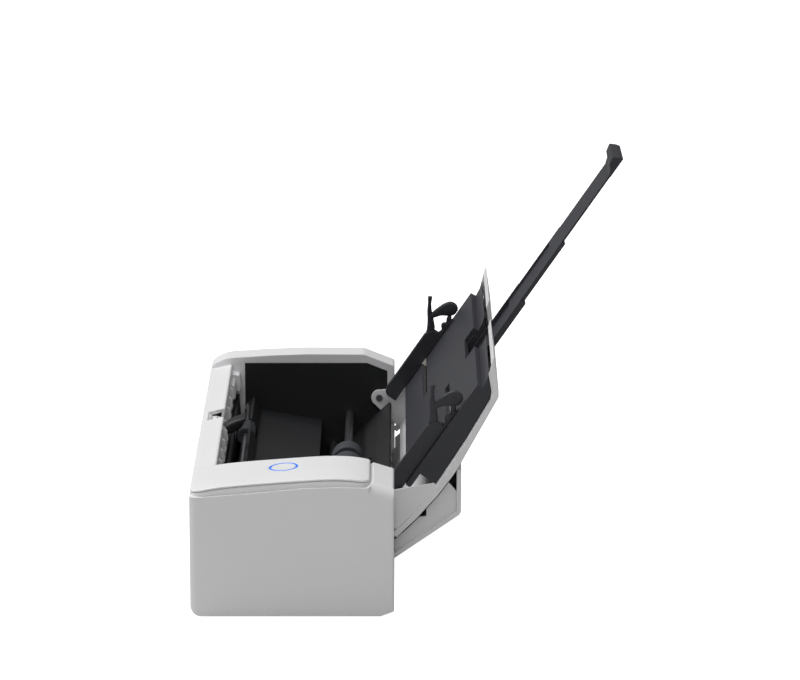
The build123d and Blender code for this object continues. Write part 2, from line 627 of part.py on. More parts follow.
def make_upper_frame():
    """Inner frame over the path: a downward channel with ribs that bend the sheet."""
    top = [(-29.4, 56.0), (-25.6, 47.0), (12.0, 40.5)]
    cover = along_x(band(top, -2.0, 3.0), X_BAY_LEFT, X_BAY_RIGHT)
    ribs = None
    side = [(-34.2, 42), (-29.5, 54), (-25, 45), (10, 39), (10, 22), (-21, 22), (-27, 24), (-32, 29), (-33.6, 33)]
    for i in range(-5, 6):
        x = X_MID + i * 20.5
        rib = along_x(Polygon(*side, align=None), x - 0.8, x + 0.8)
        ribs = rib if ribs is None else ribs + rib
    sensor_space = block(X_BAY_LEFT, X_BAY_RIGHT, -9.5, 11, 15, 34)
    shaft_space = rod(EJECT_AXIS, 4.0, X_BAY_LEFT, X_BAY_RIGHT)
    roller_space = both(rod(EJECT_AXIS, EJECT_R + 1, X_MID + 38, X_MID + 62))
    return cover + ribs - sensor_space - shaft_space - roller_space


def make_sensor(z0, z1, glass_side):
    bar = block(X_MID - 108, X_MID + 108, -9, 9, z0, z1)
    long_edges = bar.edges().filter_by(Axis.X)
    bar = fillet(long_edges, 0.8)
    z = z0 if glass_side < 0 else z1
    return bar - block(X_MID - 107, X_MID + 107, -6.5, 6.5, z - 1.2, z + 1.2)


def make_glass(z, side):
    return block(X_MID - 107, X_MID + 107, -6.5, 6.5, min(z, z - 1.2 * side), max(z, z - 1.2 * side))


def shaft(axis, x0, x1, radius=SHAFT_R):
    line = rod(axis, radius, x0, x1)
    return line


def tyres(axis, outer, inner, middles, width):
    rings = None
    for x in middles:
        ring = tube(axis, outer, inner, X_MID + x - width / 2, X_MID + x + width / 2)
        rings = ring if rings is None else rings + ring
    return rings


# Drive

def gear(axis, teeth, bore, start, x=GEAR_X):
    return along_x(Pos(*axis) * gear_face(teeth, bore, start), *x)


def drive_angles():
    large = 0.0
    feed = mesh_angle(LARGE_AXIS, large, LARGE_TEETH, FEED_AXIS, SMALL_TEETH)
    eject = mesh_angle(LARGE_AXIS, large, LARGE_TEETH, EJECT_AXIS, SMALL_TEETH)
    motor = mesh_angle(LARGE_AXIS, large, LARGE_TEETH, MOTOR_AXIS, MOTOR_TEETH)
    idler = mesh_angle(FEED_AXIS, feed, SMALL_TEETH, IDLER_AXIS, IDLER_TEETH)
    pick = mesh_angle(IDLER_AXIS, idler, IDLER_TEETH, PICK_AXIS, SMALL_TEETH)
    return {"large": large, "feed": feed, "eject": eject, "motor": motor, "idler": idler, "pick": pick}


def make_motor():
    body = rod(MOTOR_AXIS, MOTOR_R, GEAR_X[1] + 2.4, 143)
    flange = block(GEAR_X[1] + 1.2, GEAR_X[1] + 2.4, MOTOR_AXIS[0] - 17, MOTOR_AXIS[0] + 17, MOTOR_AXIS[1] - 5, MOTOR_AXIS[1] + 5)
    spindle_hole = rod(MOTOR_AXIS, 1.2, GEAR_X[1], 122)
    return body + flange - spindle_hole


def make_gear_pins():
    pins = rod(LARGE_AXIS, 2.5, X_BAY_RIGHT + PANEL_THICK, GEAR_X[1] + 1)
    return pins + rod(IDLER_AXIS, 2.5, X_BAY_RIGHT + PANEL_THICK, GEAR_X[1] + 1)


def make_main_board():
    board = block(127, 128.6, -8, 50, 10, 66)
    for y, z, w, h, t in ((8, 44, 14, 14, 1.6), (30, 46, 10, 12, 1.4), (20, 26, 12, 8, 1.2), (-2, 24, 6, 14, 5)):
        board += block(128.5, 128.6 + t, y - w / 2, y + w / 2, z - h / 2, z + h / 2)
    return board


def make_usb_port():
    shell = block(130.2, 139.2, 46, Y_REAR - 0.6, 15.2, 24.0)
    return shell - block(131.0, 138.4, 49, Y_REAR, 16.0, 23.2) + block(132.6, 136.8, 48, Y_REAR - 2, 18.2, 21.0)


def make_dc_inlet():
    shell = block(114.2, 124.0, 45, Y_REAR - 0.6, 16.2, 23.0)
    bore = Plane.XZ.offset(-Y_REAR) * Pos(119.1, 19.6) * Circle(2.7)
    return shell - extrude(bore, amount=9) + extrude(Plane.XZ.offset(-Y_REAR + 2) * Pos(119.1, 19.6) * Circle(0.8), amount=8)


def make_button_board():
    board = block(111, 127, -15, 5, 66.6, 68.0)
    return board + block(BUTTON_X - 3, BUTTON_X + 3, BUTTON_Y - 3, BUTTON_Y + 3, 67.9, 70.7)


SCREW_PLACES = ((-139, -40), (-139, 40), (124, -48), (124, 48))


def at_screws(radius, height):
    group = None
    for x, y in SCREW_PLACES:
        disc = Pos(x, y, BASE_GAP + 0.3 + height / 2) * Cylinder(radius, height)
        group = disc if group is None else group + disc
    return group


def screw_pockets():
    return at_screws(2.9, 1.4) + at_screws(3.4, 0.3).moved(Pos(0, 0, -0.3))


def make_screws():
    """Pan heads with a cross recess, sunk in the end caps' floors."""
    heads = at_screws(2.8, 1.3)
    for x, y in SCREW_PLACES:
        heads -= block(x - 1.5, x + 1.5, y - 0.3, y + 0.3, 0, BASE_GAP + 0.9)
        heads -= block(x - 0.3, x + 0.3, y - 1.5, y + 1.5, 0, BASE_GAP + 0.9)
    return heads


def build_parts():
    angles = drive_angles()
    x_left, x_right = X_BAY_LEFT - PANEL_THICK - 2, GEAR_X[1] + 1
    parts = {
        "right_end_cap": make_right_cap(),
        "left_end_cap": make_left_cap(),
        "right_inner_panel": make_right_panel(),
        "left_inner_panel": make_left_panel(),
        "base_tray": make_base_tray(),
        "rubber_feet": make_feet(),
        "front_cover": make_front_cover(),
        "tongue_bracket": make_tongue_bracket(),
        "exit_tongue": make_tongue(),
        "button_panel": make_button_panel(),
        "scan_button": make_scan_button(),
        "led_ring": make_led_ring(),
        "chute_shell": make_chute_shell(),
        "chute_liner": make_chute_liner(),
        "rear_cover": make_rear_cover(),
        "hinge_pins": make_hinge_pins(),
        "lower_guide": make_lower_guide(),
        "upper_frame": make_upper_frame(),
        "upper_sensor": make_sensor(18.6, 32.6, -1),
        "lower_sensor": make_sensor(4.0, 15.8, 1),
        "upper_glass": make_glass(18.6, -1),
        "lower_glass": make_glass(15.8, 1),
        "guide_pinion": make_pinion(),
    }
    guide, arm, pin, rack = make_guide(), make_arm(), make_arm_pin(), make_rack()
    parts.update({
        "near_guide": guide, "far_guide": mirrored(guide),
        "near_guide_arm": arm, "far_guide_arm": mirrored(arm),
        "near_arm_pin": pin, "far_arm_pin": mirrored(pin),
        "near_rack": rack, "far_rack": turned_about_pinion(rack),
    })
    for i, name in enumerate(("lower", "middle", "upper")):
        parts[f"{name}_extension"] = make_stage(i)
    parts["extension_stop"] = make_tip()
    parts.update({
        "pick_shaft": shaft(PICK_AXIS, x_left, x_right),
        "pick_tyres": tyres(PICK_AXIS, PICK_R, SHAFT_R, (-11, 11), 14),
        "retard_roller": tube(RETARD_AXIS, RETARD_R, 1.5 + RUNNING, X_MID - 20, X_MID + 20),
        "retard_axle": shaft(RETARD_AXIS, X_MID - 24, X_MID + 24, 1.5),
        "feed_shaft": shaft(FEED_AXIS, x_left, x_right),
        "feed_tyres": tyres(FEED_AXIS, FEED_R, SHAFT_R, (-50, 50), 20),
        "feed_pinch_rollers": tyres(FEED_PINCH_AXIS, FEED_PINCH_R, 1.5 + RUNNING, (-50, 50), 20),
        "feed_pinch_axle": shaft(FEED_PINCH_AXIS, X_MID - 66, X_MID + 66, 1.5),
        "eject_shaft": shaft(EJECT_AXIS, x_left, x_right),
        "eject_tyres": tyres(EJECT_AXIS, EJECT_R, SHAFT_R, (-50, 50), 20),
        "eject_pinch_rollers": tyres(EJECT_PINCH_AXIS, EJECT_PINCH_R, 1.5 + RUNNING, (-50, 50), 20),
        "eject_pinch_axle": shaft(EJECT_PINCH_AXIS, X_MID - 66, X_MID + 66, 1.5),
        "pick_gear": gear(PICK_AXIS, SMALL_TEETH, SHAFT_R, angles["pick"]),
        "feed_gear": gear(FEED_AXIS, SMALL_TEETH, SHAFT_R, angles["feed"]),
        "eject_gear": gear(EJECT_AXIS, SMALL_TEETH, SHAFT_R, angles["eject"]),
        "idler_gear": gear(IDLER_AXIS, IDLER_TEETH, 2.5 + RUNNING, angles["idler"]),
        "reduction_gear": gear(LARGE_AXIS, LARGE_TEETH, 2.5 + RUNNING, angles["large"]),
        "gear_pins": make_gear_pins(),
        "motor": make_motor(),
        "motor_pinion": gear(MOTOR_AXIS, MOTOR_TEETH, 1.0, angles["motor"]) + rod(MOTOR_AXIS, 1.1, GEAR_X[0], 121),
        "main_board": make_main_board(),
        "button_board": make_button_board(),
        "usb_port": make_usb_port(),
        "dc_inlet": make_dc_inlet(),
        "case_screws": make_screws(),
    })
    return parts


os.makedirs("parts", exist_ok=True)
for node, shape in build_parts().items():
    export_step(shape, f"parts/{node}.step")
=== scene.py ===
import json
import math

import bpy
import numpy as np
from bpy.props import FloatProperty, FloatVectorProperty, PointerProperty
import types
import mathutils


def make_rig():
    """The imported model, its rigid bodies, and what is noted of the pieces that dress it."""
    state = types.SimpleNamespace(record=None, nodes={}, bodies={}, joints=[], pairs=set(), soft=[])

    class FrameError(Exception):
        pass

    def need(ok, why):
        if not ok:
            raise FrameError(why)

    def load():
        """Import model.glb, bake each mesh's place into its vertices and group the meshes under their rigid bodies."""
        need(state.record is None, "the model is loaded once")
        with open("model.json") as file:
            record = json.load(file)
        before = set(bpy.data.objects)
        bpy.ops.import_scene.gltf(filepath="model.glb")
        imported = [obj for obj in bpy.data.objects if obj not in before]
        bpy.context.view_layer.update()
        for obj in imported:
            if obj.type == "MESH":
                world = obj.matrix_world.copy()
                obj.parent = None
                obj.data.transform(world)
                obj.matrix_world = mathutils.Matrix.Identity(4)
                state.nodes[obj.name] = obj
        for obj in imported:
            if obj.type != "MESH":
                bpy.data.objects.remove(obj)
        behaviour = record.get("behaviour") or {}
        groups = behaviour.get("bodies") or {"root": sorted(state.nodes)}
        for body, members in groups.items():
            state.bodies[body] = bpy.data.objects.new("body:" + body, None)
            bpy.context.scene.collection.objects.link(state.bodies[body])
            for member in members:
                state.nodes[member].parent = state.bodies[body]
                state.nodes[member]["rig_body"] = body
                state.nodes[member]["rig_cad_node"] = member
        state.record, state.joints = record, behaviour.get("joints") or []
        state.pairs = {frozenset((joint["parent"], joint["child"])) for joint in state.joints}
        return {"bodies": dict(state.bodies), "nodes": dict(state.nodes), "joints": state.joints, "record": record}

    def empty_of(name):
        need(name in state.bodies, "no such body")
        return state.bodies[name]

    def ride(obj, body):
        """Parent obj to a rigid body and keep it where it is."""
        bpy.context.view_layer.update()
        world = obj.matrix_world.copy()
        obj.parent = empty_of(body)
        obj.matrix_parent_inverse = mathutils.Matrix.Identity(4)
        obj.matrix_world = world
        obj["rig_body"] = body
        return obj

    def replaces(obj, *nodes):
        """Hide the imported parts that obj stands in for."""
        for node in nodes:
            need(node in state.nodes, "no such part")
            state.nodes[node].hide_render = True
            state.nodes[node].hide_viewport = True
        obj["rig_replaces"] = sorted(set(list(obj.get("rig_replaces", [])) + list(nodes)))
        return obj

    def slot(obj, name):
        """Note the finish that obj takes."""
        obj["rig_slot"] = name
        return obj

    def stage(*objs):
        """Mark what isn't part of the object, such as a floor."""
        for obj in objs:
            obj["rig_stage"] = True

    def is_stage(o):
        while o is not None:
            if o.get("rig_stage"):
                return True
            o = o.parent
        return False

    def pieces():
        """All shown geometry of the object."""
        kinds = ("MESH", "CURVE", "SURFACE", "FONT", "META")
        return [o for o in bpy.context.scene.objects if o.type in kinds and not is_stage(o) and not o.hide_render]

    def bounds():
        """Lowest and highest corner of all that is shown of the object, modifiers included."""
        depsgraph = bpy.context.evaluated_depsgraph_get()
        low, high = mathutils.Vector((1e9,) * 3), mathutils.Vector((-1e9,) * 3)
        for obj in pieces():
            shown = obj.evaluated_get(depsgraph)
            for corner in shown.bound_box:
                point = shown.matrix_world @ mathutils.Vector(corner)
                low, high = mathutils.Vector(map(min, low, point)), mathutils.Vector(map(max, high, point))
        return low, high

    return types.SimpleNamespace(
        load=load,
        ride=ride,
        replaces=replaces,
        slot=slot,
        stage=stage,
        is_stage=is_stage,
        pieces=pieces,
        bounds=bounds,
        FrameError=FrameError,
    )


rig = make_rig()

bl_info = {
    "name": "Sheet-fed document scanner",
    "version": (1, 0, 0),
    "blender": (4, 5, 0),
    "location": "View3D > Sidebar > Scanner",
    "description": "Builds the looks of a compact document scanner around its packed CAD frame",
    "category": "Object",
}

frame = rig.load()
MM = 0.001

# Places and sizes in millimetres, in the frame's own axes
NEAR_FACE_X = 148.0
CHANNEL_MIDDLE_X = -13.5
BUTTON_X, BUTTON_Y = 119.0, -5.0
WELL_R, WELL_DEPTH, WELL_BEVEL = 8.2, 5.0, 0.25
PLATE_FAR_X, PLATE_FRONT_Y, PLATE_REAR_Y = 102.03, -56.8, 43.6
PLATE_CORNER_R = 7
PLATE_FALL, FALL_FROM_X, FALL_RUN = 0.9, 128, 18.3
PLINTH_SINK = 3.0
GROOVE_GAP, GROOVE_DEPTH = 0.5, 2.2
PLATE_LINE = [(-56.8, 73.4), (-50, 75.1), (-25, 78.2), (0, 80.4), (18, 81.2), (38, 80.6), (43.6, 79.2)]
CAP_LINE = [(-57, 70.0), (-50, 70.0), (-25, 72.1), (7, 75.2), (28, 75.8), (44, 75.6)]
CAP_R, RING_R, RING_HALF = 6.5, 7.65, 0.45
CHUTE_SLOPE = math.radians(55.4)
CHUTE_FLOOR_START = (64.5, 64.8)
ARM_OFFSET_X = 107.7
TONGUE_AXIS = (-44.2, 64.4)
REAR_COVER_HALF = 112.2

# The photograph's view: its width and the lens's focal length in pixels, the camera's place in metres
PHOTO_WIDTH_PX, PHOTO_FOCAL_PX = 800.0, 4199.0
CAMERA_PLACE, CAMERA_TILT = (2.3879, 0.0603, 0.7188), math.radians(76.0)
SENSOR_WIDTH = 36.0
FLOOR_REACH = 12.0
WORLD_STRENGTH = 0.2
LAMPS = (
    ("Overhead softbox", (-0.2, -0.9, 1.6), 1.6, 31.0),
    ("Near side softbox", (0.9, 0.1, 1.3), 0.9, 4.5),
)
LAMP_TARGET = (0.0, 0.0, 0.06)


def write_sizes(moment):
    path = "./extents.json"
    sizes = {} if moment == "frame" else json.load(open(path))
    sizes[moment] = [[float(v) for v in corner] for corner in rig.bounds()]
    json.dump(sizes, open(path, "w"), indent=1)


def linear(code):
    """An sRGB hex colour as the linear RGB that shaders take."""
    values = [int(code[i:i + 2], 16) / 255 for i in (1, 3, 5)]
    return tuple(v / 12.92 if v <= 0.04045 else ((v + 0.055) / 1.055) ** 2.4 for v in values)


# Materials

def add_node(tree, kind, inputs=(), links=(), **settings):
    """Adds a shader node, sets its properties and socket values, and links what feeds it."""
    node = tree.nodes.new(kind)
    for key, value in settings.items():
        setattr(node, key, value)
    for socket, value in dict(inputs).items():
        node.inputs[socket].default_value = value
    for socket, source in dict(links).items():
        tree.links.new(source, node.inputs[socket])
    return node


def start_material(name):
    """An empty node material and its tree."""
    material = bpy.data.materials.new(name)
    material.use_nodes = True
    tree = material.node_tree
    tree.nodes.clear()
    return material, tree


def end_material(tree, shader):
    """Links the last shader to the material's output."""
    output = tree.nodes.new("ShaderNodeOutputMaterial")
    tree.links.new(shader.outputs[0], output.inputs["Surface"])


def moulded_plastic(name, colour, roughness, grain_mm, depth_mm, edge_mm, flow_mm=45.0):
    """Injection-moulded plastic: a spark-eroded grain and faint flow mottling, with softened mould edges."""
    material, tree = start_material(name)
    place = tree.nodes.new("ShaderNodeTexCoord").outputs["Object"]
    fine, coarse = 1 / (grain_mm * MM), 1 / (flow_mm * MM)
    grain = add_node(tree, "ShaderNodeTexNoise", {"Scale": fine, "Detail": 2.0}, {"Vector": place})
    flow = add_node(tree, "ShaderNodeTexNoise", {"Scale": coarse, "Detail": 1.0}, {"Vector": place})
    edge = add_node(tree, "ShaderNodeBevel", {"Radius": edge_mm * MM}, samples=6)
    bump = add_node(
        tree, "ShaderNodeBump", {"Strength": 0.4, "Distance": depth_mm * MM},
        {"Height": grain.outputs[0], "Normal": edge.outputs[0]},
    )
    shade = add_node(
        tree, "ShaderNodeMix", {6: (*[v * 0.965 for v in colour], 1), 7: (*colour, 1)}, {0: flow.outputs[0]},
        data_type="RGBA",
    )
    body = add_node(
        tree, "ShaderNodeBsdfPrincipled", {"Roughness": roughness, "IOR": 1.52},
        {"Base Color": shade.outputs[2], "Normal": bump.outputs[0]},
    )
    end_material(tree, body)
    return material


def cast_rubber(name, colour, roughness, line_mm=0.63):
    """Ground rubber tyre: a matt face with fine lines left round it by the grinding wheel."""
    material, tree = start_material(name)
    place = tree.nodes.new("ShaderNodeTexCoord").outputs["Object"]
    # A wave texture of scale 1 has a band every pi / 10 units
    scale = math.pi / 10 / (line_mm * MM)
    lines = add_node(
        tree, "ShaderNodeTexWave", {"Scale": scale, "Distortion": 1.5}, {"Vector": place},
        bands_direction="X",
    )
    bump = add_node(
        tree, "ShaderNodeBump", {"Strength": 0.3, "Distance": 0.05 * MM}, {"Height": lines.outputs[1]},
    )
    body = add_node(
        tree, "ShaderNodeBsdfPrincipled",
        {"Base Color": (*colour, 1), "Roughness": roughness, "Specular IOR Level": 0.3},
        {"Normal": bump.outputs[0]},
    )
    end_material(tree, body)
    return material


def turned_steel(name, colour, roughness, line_mm=0.25, run_mm=3.3):
    """Ground bar or pressed sheet steel: bright metal with fine lines across its length."""
    material, tree = start_material(name)
    place = tree.nodes.new("ShaderNodeTexCoord").outputs["Object"]
    across, along = 1 / (line_mm * MM), 1 / (run_mm * MM)
    stretch = add_node(tree, "ShaderNodeMapping", {"Scale": (across, along, along)}, {"Vector": place})
    lines = add_node(
        tree, "ShaderNodeTexNoise", {"Scale": 1.0, "Detail": 1.0}, {"Vector": stretch.outputs[0]},
    )
    bump = add_node(
        tree, "ShaderNodeBump", {"Strength": 0.2, "Distance": 0.02 * MM}, {"Height": lines.outputs[0]},
    )
    body = add_node(
        tree, "ShaderNodeBsdfPrincipled",
        {"Base Color": (*colour, 1), "Metallic": 1.0, "Roughness": roughness}, {"Normal": bump.outputs[0]},
    )
    end_material(tree, body)
    return material


def lit_lens(name, colour, glow):
    """Clear polycarbonate light guide with lit diodes behind it: an even blue glow under a polished face."""
    material, tree = start_material(name)
    body = add_node(
        tree, "ShaderNodeBsdfPrincipled", {
            "Base Color": (*colour, 1), "Roughness": 0.2,
            "Emission Color": (*colour, 1), "Emission Strength": glow,
        },
    )
    end_material(tree, body)
    return material


def dark_glass(name, colour):
    """Polished float glass over a dark sensor: black with a sharp reflection."""
    material, tree = start_material(name)
    body = add_node(
        tree, "ShaderNodeBsdfPrincipled", {"Base Color": (*colour, 1), "Roughness": 0.03, "IOR": 1.52},
    )
    end_material(tree, body)
    return material


def floor_paint(name):
    """Seamless studio paper: clips to white for the camera and still takes a soft shadow."""
    material, tree = start_material(name)
    seen = tree.nodes.new("ShaderNodeLightPath")
    paper = add_node(tree, "ShaderNodeBsdfDiffuse", {"Color": (0.66, 0.66, 0.66, 1)})
    glow = add_node(tree, "ShaderNodeEmission", {"Color": (1, 1, 1, 1), "Strength": 1.0})
    both = add_node(tree, "ShaderNodeAddShader", links={0: paper.outputs[0], 1: glow.outputs[0]})
    pick = add_node(
        tree, "ShaderNodeMixShader",
        links={0: seen.outputs["Is Camera Ray"], 1: paper.outputs[0], 2: both.outputs[0]},
    )
    end_material(tree, pick)
    return material


# Surfaces

def grid_faces(rows, columns, first=0, wrap_rows=False, wrap_columns=True):
    """Quads of a grid of points stored row by row, as an array of four indices each."""
    i = np.arange(rows if wrap_rows else rows - 1)[:, None]
    j = np.arange(columns if wrap_columns else columns - 1)[None, :]
    here, ahead = i * columns, (i + 1) % rows * columns
    beside = (j + 1) % columns
    return first + np.stack([here + j, here + beside, ahead + beside, ahead + j], axis=-1).reshape(-1, 4)


def build_mesh(name, grids, finish, body, nodes, slot):
    """One smooth mesh from (points, wrap rows, wrap columns) grids in millimetres, riding the body."""
    points, faces = [], []
    first = 0
    for grid, wrap_rows, wrap_columns in grids:
        rows, columns = grid.shape[:2]
        points.append(grid.reshape(-1, 3))
        faces.append(grid_faces(rows, columns, first, wrap_rows, wrap_columns))
        first += rows * columns
    mesh = bpy.data.meshes.new(name)
    mesh.from_pydata((np.concatenate(points) * MM).tolist(), [], np.concatenate(faces).tolist())
    mesh.polygons.foreach_set("use_smooth", np.ones(len(mesh.polygons), bool))
    mesh.update()
    mesh.materials.append(bpy.data.materials[finish])
    obj = bpy.data.objects.new(name, mesh)
    bpy.context.scene.collection.objects.link(obj)
    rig.ride(obj, body)
    if nodes:
        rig.replaces(obj, *nodes)
    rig.slot(obj, slot)
    return obj


def smooth_line(points, count):
    """Samples of a natural-looking curve: Catmull-Rom through the points, evenly spaced in parameter."""
    knots = np.array(points, float)
    padded = np.vstack([2 * knots[0] - knots[1], knots, 2 * knots[-1] - knots[-2]])
    t = np.linspace(0, len(knots) - 1, count)
    i = np.minimum(t.astype(int), len(knots) - 2)
    f = (t - i)[:, None]
    a, b, c, d = (padded[i + k] for k in range(4))
    square, cube = 2 * a - 5 * b + 4 * c - d, 3 * b - a - 3 * c + d
    return 0.5 * (2 * b + (c - a) * f + square * f ** 2 + cube * f ** 3)


def swept_bar(line, half_height, half_width, middle_x, squareness=4.0, count=28):
    """Bar along a (y, z) line, a superellipse across it.

    point = line(s) + n(s) h(s) sgn(cos a)|cos a|^(2/q) + X w(s) sgn(sin a)|sin a|^(2/q)
    """
    along = np.gradient(line, axis=0)
    along /= np.linalg.norm(along, axis=1)[:, None]
    normal = np.stack([-along[:, 1], along[:, 0]], axis=1)
    angle = np.linspace(0, 2 * np.pi, count, endpoint=False)
    across = np.sign(np.cos(angle)) * np.abs(np.cos(angle)) ** (2 / squareness)
    aside = np.sign(np.sin(angle)) * np.abs(np.sin(angle)) ** (2 / squareness)
    middle = line[:, None, :] + normal[:, None, :] * (half_height[:, None] * across)[:, :, None]
    x = middle_x + half_width[:, None] * aside
    return np.concatenate([x[:, :, None], middle], axis=2)


def capped(grid):
    """The bar's grid with both ends drawn together to their middles."""
    first, last = grid[0].mean(axis=0), grid[-1].mean(axis=0)
    near = first + (grid[0] - first) * 0.5
    far = last + (grid[-1] - last) * 0.5
    return np.concatenate([np.broadcast_to(first, grid[:1].shape), near[None], grid, far[None],
                           np.broadcast_to(last, grid[:1].shape)])


def turned(profile, axis, count=72):
    """Turned on an axis along X: point = (x, y0 + r cos a, z0 + r sin a) for each (x, r) of the profile."""
    angle = np.linspace(0, 2 * np.pi, count, endpoint=False)
    x = np.repeat(profile[:, :1], count, axis=1)
    y = axis[0] + profile[:, 1:] * np.cos(angle)
    z = axis[1] + profile[:, 1:] * np.sin(angle)
    return np.stack([x, y, z], axis=-1)


# Settings

class ScannerSettings(bpy.types.PropertyGroup):
    """Colours and sizes of the pieces that the operators build."""

    white: FloatVectorProperty(
        name="White ABS", description="Housing colour", subtype="COLOR", min=0, max=1,
        default=linear("#ECECED"),
    )
    charcoal: FloatVectorProperty(
        name="Charcoal ABS", description="Chute lining and guides", subtype="COLOR", min=0, max=1,
        default=linear("#2E2F35"),
    )
    black: FloatVectorProperty(
        name="Black ABS", description="Paper path and inner panels", subtype="COLOR", min=0, max=1,
        default=linear("#121316"),
    )
    lens: FloatVectorProperty(
        name="Lens", description="Lit ring round the button", subtype="COLOR", min=0, max=1,
        default=linear("#2F7BEA"),
    )
    lens_glow: FloatProperty(name="Lens glow", description="Brightness of the lit ring", default=0.35, min=0)
    edge: FloatProperty(
        name="Edge", description="Radius that the mould leaves on edges, in millimetres", default=0.6, min=0,
    )
    plate_inset: FloatProperty(
        name="Plate inset", description="From the near face to the button plate's edge, in millimetres",
        default=1.7,
    )
    plate_thickness: FloatProperty(
        name="Plate thickness", description="Of the button plate's edge, in millimetres",
        default=1.15, min=0.5,
    )
    button_dish: FloatProperty(
        name="Button dish", description="Depth of the hollow in the button, in millimetres",
        default=0.3, min=0,
    )
    arm_thickness: FloatProperty(
        name="Arm thickness", description="Of the guide arms across the sheet, in millimetres",
        default=3.2, min=1,
    )
    tread_depth: FloatProperty(
        name="Tread depth", description="Depth of the tyres' grooves, in millimetres", default=0.4, min=0,
    )
    web_thickness: FloatProperty(
        name="Web thickness", description="Of the rear cover's end webs, in millimetres",
        default=1.6, min=0.5,
    )
    web_recess: FloatProperty(
        name="Web recess", description="From the rear cover's rim to its web, in millimetres",
        default=1.8, min=0,
    )


# Pieces

class SCANNER_OT_button_panel(bpy.types.Operator):
    """Thin arched plate over the near end, on its plinth, with the well for the button"""

    bl_idname = "scanner.button_panel"
    bl_label = "Button panel"

    def execute(self, context):
        s = context.scene.scanner
        angle = np.linspace(-np.pi, np.pi, 360, endpoint=False)
        t = s.plate_thickness
        # Inset from the plate's edge and drop below its top: plinth wall, groove, underside, rounded rim
        low = t + GROOVE_GAP
        rim = [(0.15, None), (0.15, low + 0.3), (0.4, low), (GROOVE_DEPTH, low), (GROOVE_DEPTH, t), (0.35, t),
               (0.08, t * 0.85), (0.0, t * 0.6), (0.08, t * 0.35), (0.3, t * 0.12), (0.8, 0.02), (1.6, 0.0)]
        rings = []
        for inset, drop in rim:
            reach = plan_reach(angle, inset, s.plate_inset)
            x, y = BUTTON_X + reach * np.cos(angle), BUTTON_Y + reach * np.sin(angle)
            z = cap_top(y) - PLINTH_SINK if drop is None else plate_top(x, y) - drop
            rings.append(np.stack([x, y, z], axis=-1))
        edge = plan_reach(angle, rim[-1][0], s.plate_inset)
        well = WELL_R + WELL_BEVEL
        for f in np.linspace(1, 0, 26)[1:]:
            reach = well + (edge - well) * f
            x, y = BUTTON_X + reach * np.cos(angle), BUTTON_Y + reach * np.sin(angle)
            rings.append(np.stack([x, y, plate_top(x, y)], axis=-1))
        for drop in (WELL_BEVEL, WELL_DEPTH):
            x, y = BUTTON_X + WELL_R * np.cos(angle), BUTTON_Y + WELL_R * np.sin(angle)
            rings.append(np.stack([x, y, arch(y) - drop], axis=-1))
        grid = np.stack(rings)
        build_mesh("button_plate", [(grid, True, True)], "White ABS, injection moulded", "base",
                   ["button_panel"], "white_abs")
        return {"FINISHED"}


def arch(y):
    """Height of the plate's top: the fifth-order polynomial in y that fits its line."""
    line = np.array(PLATE_LINE)
    return np.polyval(np.polyfit(line[:, 0], line[:, 1], 5), y)


def plate_top(x, y):
    """The arch, which also falls towards the near edge: z = arch(y) - fall ((x - from) / run)^2."""
    return arch(y) - PLATE_FALL * np.clip((x - FALL_FROM_X) / FALL_RUN, 0, 1) ** 2


def cap_top(y):
    """Height of the end cap's top under the plate, straight between the points of its line."""
    line = np.array(CAP_LINE)
    return np.interp(y, line[:, 0], line[:, 1])


def plan_reach(angle, inset, side_inset):
    """Distance from the button to the plan's edge at each angle: a rectangle, its near corners arcs."""
    x0, x1 = PLATE_FAR_X, NEAR_FACE_X - side_inset - inset
    y0, y1 = PLATE_FRONT_Y + inset, PLATE_REAR_Y - inset
    corners = []
    r = PLATE_CORNER_R - inset
    for cy, start in ((y0 + r, -90), (y1 - r, 0)):
        a = np.radians(np.linspace(start, start + 90, 24))
        corners.append(np.stack([x1 - r + r * np.cos(a), cy + r * np.sin(a)], axis=-1))
    line = np.vstack([[(x0, y0)], *corners, [(x0, y1)], [(x0, y0)]])
    sides = [np.linspace(a, b, 60) for a, b in zip(line, line[1:])]
    dense = np.vstack(sides) - (BUTTON_X, BUTTON_Y)
    around = np.arctan2(dense[:, 1], dense[:, 0])
    order = np.argsort(around)
    return np.interp(angle, around[order], np.hypot(*dense[order].T), period=2 * np.pi)


def on_plate(profile, count=96):
    """Turned about the button's upright axis and laid on the arch: z = arch(y) + h for each (r, h)."""
    angle = np.linspace(0, 2 * np.pi, count, endpoint=False)
    x = BUTTON_X + profile[:, :1] * np.cos(angle)
    y = BUTTON_Y + profile[:, :1] * np.sin(angle)
    return np.stack([x, y, arch(y) + profile[:, 1:]], axis=-1)


class SCANNER_OT_scan_button(bpy.types.Operator):
    """Dished scan button on its stem, and the lit ring round it"""

    bl_idname = "scanner.scan_button"
    bl_label = "Scan button"

    def execute(self, context):
        s = context.scene.scanner
        r = np.linspace(CAP_R, 0, 24)
        dish = np.stack([r, s.button_dish * ((r / CAP_R) ** 2 - 1)], axis=-1)
        stem = [(0.0, -8.2), (1.6, -8.2), (1.6, -2.2)]
        skirt = [(6.9, -2.2), (6.9, -0.25), (6.83, -0.08), (6.68, -0.01)]
        button = on_plate(np.vstack([stem, skirt, dish]))
        build_mesh("dished_button", [(button, False, True)], "White ABS, injection moulded", "scan_button",
                   ["scan_button"], "white_abs")
        a = np.linspace(0, np.pi, 11)
        crown = np.stack([RING_R + RING_HALF * np.cos(a), 0.12 * np.sin(a) - 0.04], axis=-1)
        lens = np.vstack([[(RING_R - RING_HALF, -2.8), (RING_R + RING_HALF, -2.8)], crown])
        build_mesh("light_ring", [(on_plate(lens), True, True)], "Polycarbonate light guide, lit", "base",
                   ["led_ring"], "blue_lens")
        return {"FINISHED"}


